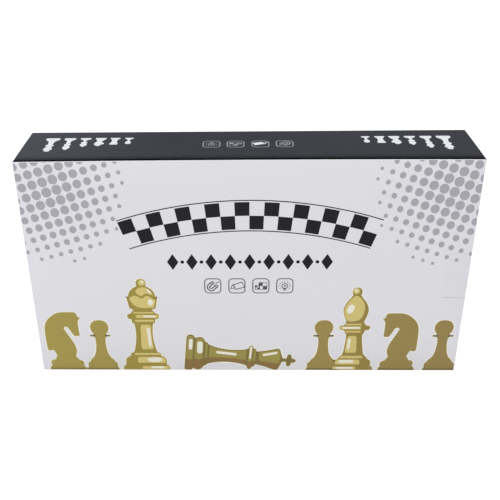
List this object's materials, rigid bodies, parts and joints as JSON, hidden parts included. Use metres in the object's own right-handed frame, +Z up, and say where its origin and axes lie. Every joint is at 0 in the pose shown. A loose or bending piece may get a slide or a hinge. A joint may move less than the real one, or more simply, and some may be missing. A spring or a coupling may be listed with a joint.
{
  "type": "magnetic chess set",
  "caption": "Boxed magnetic chess set: printed telescoping carton, shallow base tray with foam, and a hinged folding wooden board that holds its chessmen in slotted foam.",
  "frame": {"origin": "centre of the underside, on which the carton stands on its long narrow side", "axes": "+X along the carton's width, +Y from the printed face through the carton's depth to its back, +Z up"},
  "size_m": [0.4001, 0.0711, 0.22],
  "materials": {
    "printed_card": "white coated greyboard with black walls, satin print",
    "clear_film": "clear polypropylene film",
    "black_card": "greyboard wrapped in dark paper",
    "white_foam": "expanded polyethylene foam",
    "rail_wood": "satin lacquered hardwood",
    "panel_wood": "satin lacquered plywood",
    "walnut_veneer": "satin lacquered walnut veneer",
    "maple_veneer": "satin lacquered maple veneer",
    "tinned_steel": "tinned mild steel sheet",
    "black_foam": "closed-cell EVA foam",
    "brass": "polished",
    "magnet_nickel": "nickel-plated magnet",
    "maple_men": "turned maple, clear lacquer",
    "ebonised_men": "turned hardwood, black stain",
    "felted_magnet": "flexible magnet faced with green felt"
  },
  "bodies": {
    "lid": {"lid": "printed_card", "sealing_tape": "clear_film"},
    "board_back": {"back_side_rails": "rail_wood", "back_end_rails": "rail_wood", "back_panel": "panel_wood", "back_dark_squares": "walnut_veneer", "back_light_squares": "maple_veneer", "back_steel_sheet": "tinned_steel", "back_insert": "black_foam", "back_hinge_leaves": "brass", "back_hinge_screws": "brass", "back_catch_magnets": "magnet_nickel", "hinge_pins": "brass", "white_magnet_discs": "felted_magnet", "white_king": "maple_men", "white_queen": "maple_men", "white_bishops": "maple_men", "white_knights": "maple_men", "white_rooks": "maple_men", "white_pawns": "maple_men"},
    "board_front": {"front_side_rails": "rail_wood", "front_end_rails": "rail_wood", "front_panel": "panel_wood", "front_dark_squares": "walnut_veneer", "front_light_squares": "maple_veneer", "front_steel_sheet": "tinned_steel", "front_insert": "black_foam", "front_hinge_leaves": "brass", "front_hinge_screws": "brass", "front_catch_magnets": "magnet_nickel", "black_magnet_discs": "felted_magnet", "black_king": "ebonised_men", "black_queen": "ebonised_men", "black_bishops": "ebonised_men", "black_knights": "ebonised_men", "black_rooks": "ebonised_men", "black_pawns": "ebonised_men"},
    "base": {"base_tray": "black_card", "foam_cradle": "white_foam"}
  },
  "joints": [
    {"name": "board_out", "type": "slide", "parent": "lid", "child": "board_back", "axis": [0, 1, 0], "range_m": [0, 0.628]},
    {"name": "board_unfold", "type": "hinge", "parent": "board_back", "child": "board_front", "pos_m": [0, -0.00245, 0.2029], "axis": [-1, 0, 0], "range_deg": [0, 180]},
    {"name": "base_off", "type": "slide", "parent": "board_back", "child": "base", "axis": [0, 1, 0], "range_m": [0, 0.1]}
  ],
  "couplings": [
    {"joint": "board_unfold", "follows": "board_out", "rad_per_m": 5}
  ]
}
